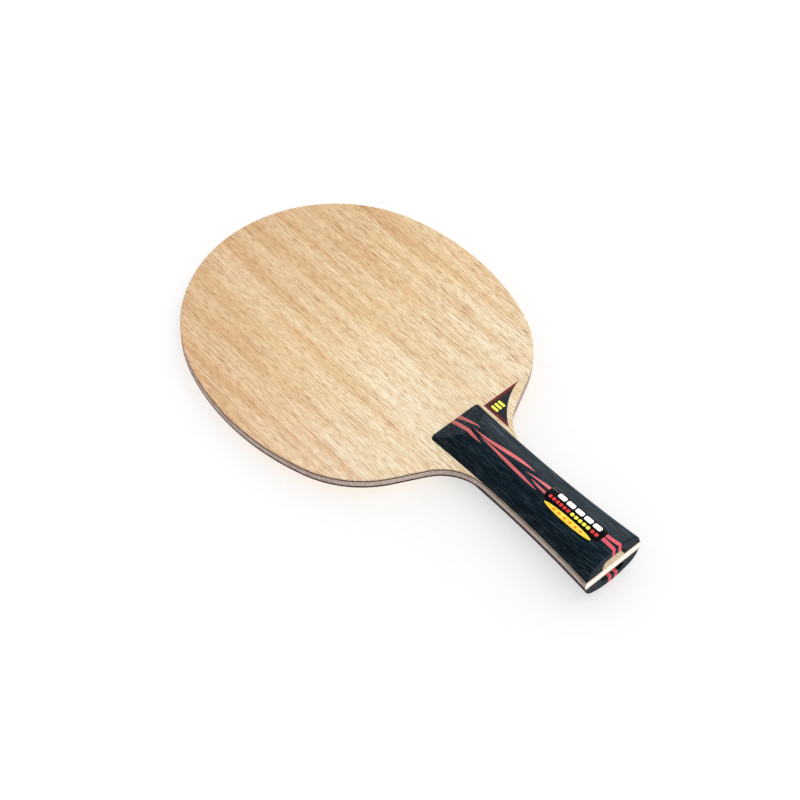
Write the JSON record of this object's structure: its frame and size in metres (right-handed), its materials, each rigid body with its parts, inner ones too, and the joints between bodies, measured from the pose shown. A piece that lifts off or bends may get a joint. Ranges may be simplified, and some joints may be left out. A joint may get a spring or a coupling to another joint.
{
  "type": "table tennis blade",
  "caption": "Bare wooden table tennis blade: oval laminated head and a flared handle of dark wooden scales with red veneer stripes, name badge and throat foil, no rubber sheets.",
  "frame": {"origin": "the middle of the grip, on the blade's mid-plane and on its long centre line", "axes": "+Y along the blade from the butt to the head's tip, +Z out of the front face that carries the badges, +X across the blade to the side of the throat badge"},
  "size_m": [0.1508, 0.257, 0.0255],
  "materials": {
    "core_wood": "raw, sanded",
    "inner_ply_wood": "raw, dyed dark",
    "face_wood": "sanded, thin matt seal",
    "dark_wood": "dyed, satin",
    "red_veneer": "dyed, satin",
    "black_badge": "domed, glossy",
    "yellow_badge": "domed, glossy",
    "throat_foil": "printed, satin"
  },
  "bodies": {
    "root": {"core_ply": "core_wood", "front_inner_ply": "inner_ply_wood", "back_inner_ply": "inner_ply_wood", "front_outer_ply": "face_wood", "back_outer_ply": "face_wood", "front_handle_scale": "dark_wood", "front_head_upper_stripe": "red_veneer", "front_head_lower_stripe": "red_veneer", "front_middle_upper_stripe": "red_veneer", "front_middle_lower_stripe": "red_veneer", "front_butt_upper_stripe": "red_veneer", "front_butt_lower_stripe": "red_veneer", "back_handle_scale": "dark_wood", "back_head_upper_stripe": "red_veneer", "back_head_lower_stripe": "red_veneer", "back_middle_upper_stripe": "red_veneer", "back_middle_lower_stripe": "red_veneer", "back_butt_upper_stripe": "red_veneer", "back_butt_lower_stripe": "red_veneer", "name_badge": "black_badge", "badge_oval": "yellow_badge", "throat_badge": "throat_foil"}
  },
  "joints": []
}
